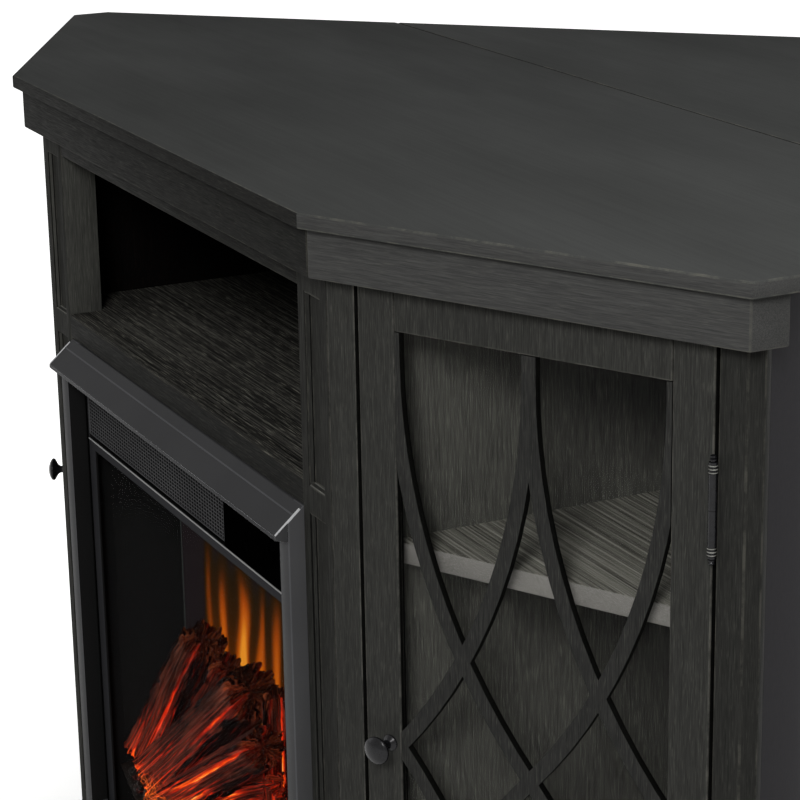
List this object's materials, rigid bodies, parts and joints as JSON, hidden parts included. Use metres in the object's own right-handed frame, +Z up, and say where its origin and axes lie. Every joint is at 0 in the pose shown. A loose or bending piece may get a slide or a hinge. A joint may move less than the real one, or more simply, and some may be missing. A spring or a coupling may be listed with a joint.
{
  "type": "fireplace tv stand",
  "caption": "Corner television stand with an electric fireplace under an open shelf bay and a lattice-fronted glass door cabinet on each side.",
  "frame": {"origin": "middle of the overall plan box, at floor level", "axes": "+X along the front to the viewer's right, +Y from the front towards the corner of the room, +Z up"},
  "size_m": [1.42, 0.8896, 0.876],
  "materials": {
    "charcoal_wood": "wire-brushed charcoal stain with worn edges",
    "top_wood": "smooth charcoal lacquer",
    "shelf_wood": "grey stain",
    "back_board": "dark fibreboard",
    "hardware_metal": "black pewter",
    "hood_metal": "satin dark grey",
    "case_sheet": "matt black",
    "panel_gloss": "gloss black",
    "door_glass": "clear tempered",
    "fire_glass": "clear tempered",
    "flame_screen": "smoked, lit from behind",
    "ember_resin": "cast coals, lit from below",
    "log_resin": "cast charred bark",
    "bright_sheet": "bright rolled sheet",
    "inlet_plastic": "moulded black"
  },
  "bodies": {
    "cabinet": {"top_main": "top_wood", "top_corner": "top_wood", "corner_apron": "charcoal_wood", "frieze_front": "charcoal_wood", "frieze_left": "charcoal_wood", "frieze_right": "charcoal_wood", "pilaster_left": "charcoal_wood", "pilaster_right": "charcoal_wood", "header_rail": "charcoal_wood", "shelf_rail": "charcoal_wood", "lower_rail": "charcoal_wood", "inner_stile_left": "charcoal_wood", "inner_stile_right": "charcoal_wood", "end_post_left": "charcoal_wood", "end_post_right": "charcoal_wood", "partition_left": "charcoal_wood", "partition_right": "charcoal_wood", "floor_panel": "charcoal_wood", "media_shelf": "charcoal_wood", "cabinet_shelf_left": "shelf_wood", "cabinet_shelf_right": "shelf_wood", "back_panel": "back_board", "diagonal_back_left": "back_board", "diagonal_back_right": "back_board", "plinth": "charcoal_wood", "hinge_left_upper_frame": "hardware_metal", "hinge_left_lower_frame": "hardware_metal", "hinge_right_upper_frame": "hardware_metal", "hinge_right_lower_frame": "hardware_metal", "firebox_trim": "hood_metal", "firebox_hood": "hood_metal", "firebox_case": "case_sheet", "vent_grille": "case_sheet", "control_panel": "panel_gloss", "firebox_glass": "fire_glass", "flame_screen": "flame_screen", "ember_bed": "ember_resin", "log_set": "log_resin", "heater_housing": "bright_sheet", "power_inlet": "inlet_plastic"},
    "door_left": {"door_left_stile_latch": "charcoal_wood", "door_left_stile_hinge": "charcoal_wood", "door_left_rail_top": "charcoal_wood", "door_left_rail_bottom": "charcoal_wood", "door_left_lattice": "charcoal_wood", "door_left_glass": "door_glass", "door_left_knob": "hardware_metal", "hinge_left_upper_door": "hardware_metal", "hinge_left_lower_door": "hardware_metal"},
    "door_right": {"door_right_stile_latch": "charcoal_wood", "door_right_stile_hinge": "charcoal_wood", "door_right_rail_top": "charcoal_wood", "door_right_rail_bottom": "charcoal_wood", "door_right_lattice": "charcoal_wood", "door_right_glass": "door_glass", "door_right_knob": "hardware_metal", "hinge_right_upper_door": "hardware_metal", "hinge_right_lower_door": "hardware_metal"},
    "flame_rotor": {"flame_rotor": "bright_sheet"},
    "blower_wheel": {"blower_wheel": "bright_sheet"}
  },
  "joints": [
    {"name": "door_left_hinge", "type": "hinge", "parent": "cabinet", "child": "door_left", "pos_m": [-0.66375, -0.25638, 0.433], "axis": [0, 0, -1], "range_deg": [0, 110]},
    {"name": "door_right_hinge", "type": "hinge", "parent": "cabinet", "child": "door_right", "pos_m": [0.66375, -0.25638, 0.433], "axis": [0, 0, 1], "range_deg": [0, 110]},
    {"name": "flame_rotor_spin", "type": "hinge", "parent": "cabinet", "child": "flame_rotor", "pos_m": [0, -0.29535, 0.178], "axis": [1, 0, 0], "continuous": true},
    {"name": "blower_wheel_spin", "type": "hinge", "parent": "cabinet", "child": "blower_wheel", "pos_m": [0, -0.30485, 0.54], "axis": [1, 0, 0], "continuous": true}
  ]
}
